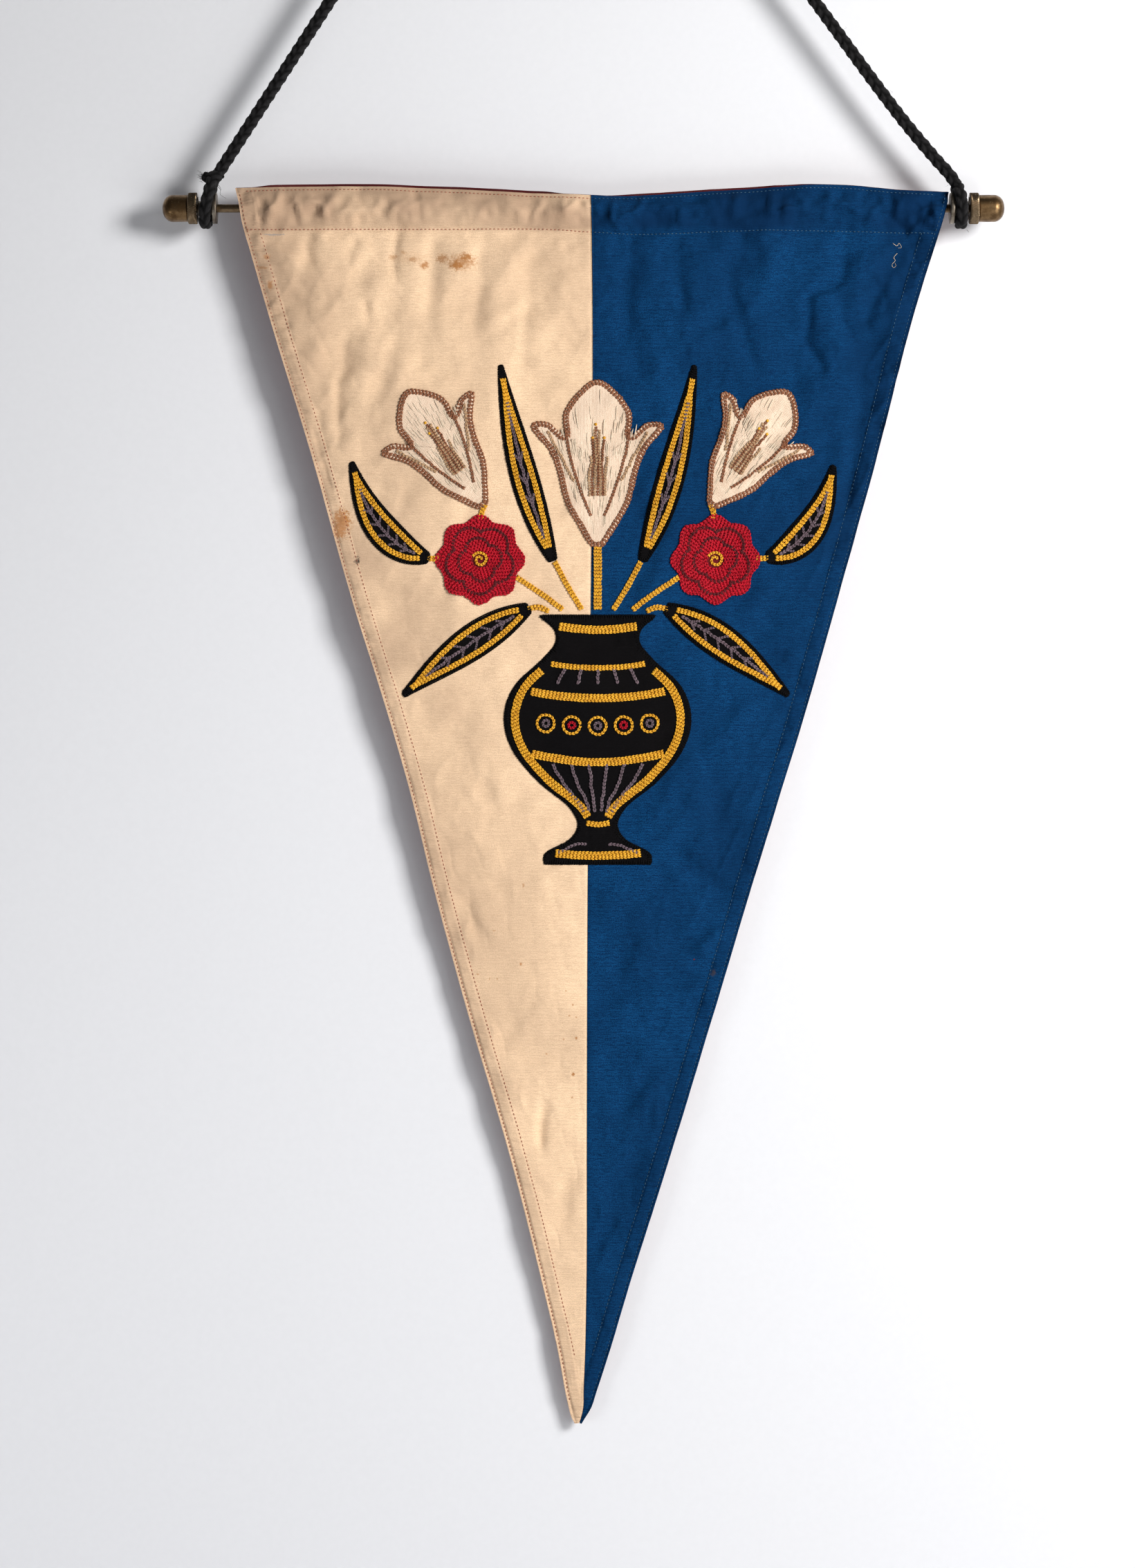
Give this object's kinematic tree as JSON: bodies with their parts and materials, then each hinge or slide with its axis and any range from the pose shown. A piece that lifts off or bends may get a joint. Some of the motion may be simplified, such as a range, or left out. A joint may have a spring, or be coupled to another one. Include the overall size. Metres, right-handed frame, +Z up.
{
  "type": "church banner with rod and cord",
  "caption": "Pointed two-colour cloth banner with sewn and embroidered flowers in an urn, hung from a brass rod with domed ends by a black braided cord.",
  "frame": {"origin": "underside of the cord at its highest point, where a hook on the wall holds it up", "axes": "+Z up, X along the rod to the right seen from the front, and the front faces -Y"},
  "size_m": [0.4868, 0.0256, 1.0144],
  "materials": {
    "cream_cotton": "aged ribbed cotton, slightly stained",
    "blue_cotton": "matt ribbed cotton",
    "dark_red_cotton": "plain matt cotton",
    "black_cotton": "matt cotton, edges overcast by machine",
    "cream_satin": "soft satin",
    "embroidery_thread": "machine chain stitch in wool and cotton threads",
    "aged_brass": "darkened, worn bright on the edges",
    "black_cord": "braided, slightly fuzzy"
  },
  "bodies": {
    "root": {"front_cream": "cream_cotton", "front_blue": "blue_cotton", "backing": "dark_red_cotton", "rod": "aged_brass", "spool_left": "aged_brass", "spool_right": "aged_brass", "knob_left": "aged_brass", "knob_right": "aged_brass", "cord": "black_cord", "cord_loop_left": "black_cord", "cord_loop_right": "black_cord", "cord_knot_left": "black_cord", "urn": "black_cotton", "leaf_low_left": "black_cotton", "leaf_low_right": "black_cotton", "leaf_out_left": "black_cotton", "leaf_out_right": "black_cotton", "leaf_high_left": "black_cotton", "leaf_high_right": "black_cotton", "lily_middle": "cream_satin", "lily_left": "cream_satin", "lily_right": "cream_satin", "rose_left": "embroidery_thread", "rose_right": "embroidery_thread"}
  },
  "joints": []
}
